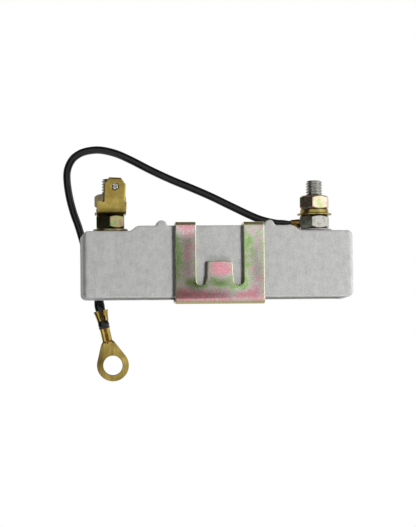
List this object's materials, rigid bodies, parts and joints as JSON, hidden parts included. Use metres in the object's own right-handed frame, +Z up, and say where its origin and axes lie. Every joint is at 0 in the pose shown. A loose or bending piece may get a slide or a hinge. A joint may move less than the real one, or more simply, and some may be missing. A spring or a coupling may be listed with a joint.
{
  "type": "ballast resistor",
  "caption": "Ceramic ballast resistor with a coil in an open trough, two terminal studs, a spade tab, a folded spring clip and a short lead with a ring terminal.",
  "frame": {"origin": "centre of the clip's screw hole, on the boss face that meets the vehicle's panel", "axes": "+X along the ceramic, +Y into the panel, +Z up the terminal studs"},
  "size_m": [0.082, 0.022, 0.0679],
  "materials": {
    "fired_ceramic": "matte fired steatite, unglazed",
    "resistance_wire": "oxidised nickel-chrome wire",
    "zinc_steel": "bright zinc",
    "passivated_steel": "yellow iridescent passivated zinc",
    "passivated_clip": "yellow iridescent passivated zinc with pink and green clouds",
    "brass_sheet": "stamped brass",
    "black_pvc": "extruded PVC insulation",
    "copper_strands": "bare stranded copper"
  },
  "bodies": {
    "root": {"ceramic_body": "fired_ceramic", "resistance_coil": "resistance_wire", "stud_left": "zinc_steel", "stud_right": "zinc_steel", "inner_washer_left": "zinc_steel", "inner_washer_right": "zinc_steel", "base_washer_left": "passivated_steel", "base_washer_right": "zinc_steel", "lower_nut_left": "passivated_steel", "lower_nut_right": "passivated_steel", "spade_terminal": "brass_sheet", "flat_washer_right": "passivated_steel", "spring_washer_left": "passivated_steel", "spring_washer_right": "passivated_steel", "upper_nut_left": "passivated_steel", "upper_nut_right": "passivated_steel", "mounting_clip": "passivated_clip", "lead_lug": "brass_sheet", "lead_wire": "black_pvc", "ring_terminal": "brass_sheet", "strands_lug": "copper_strands", "strands_ring": "copper_strands"}
  },
  "joints": []
}
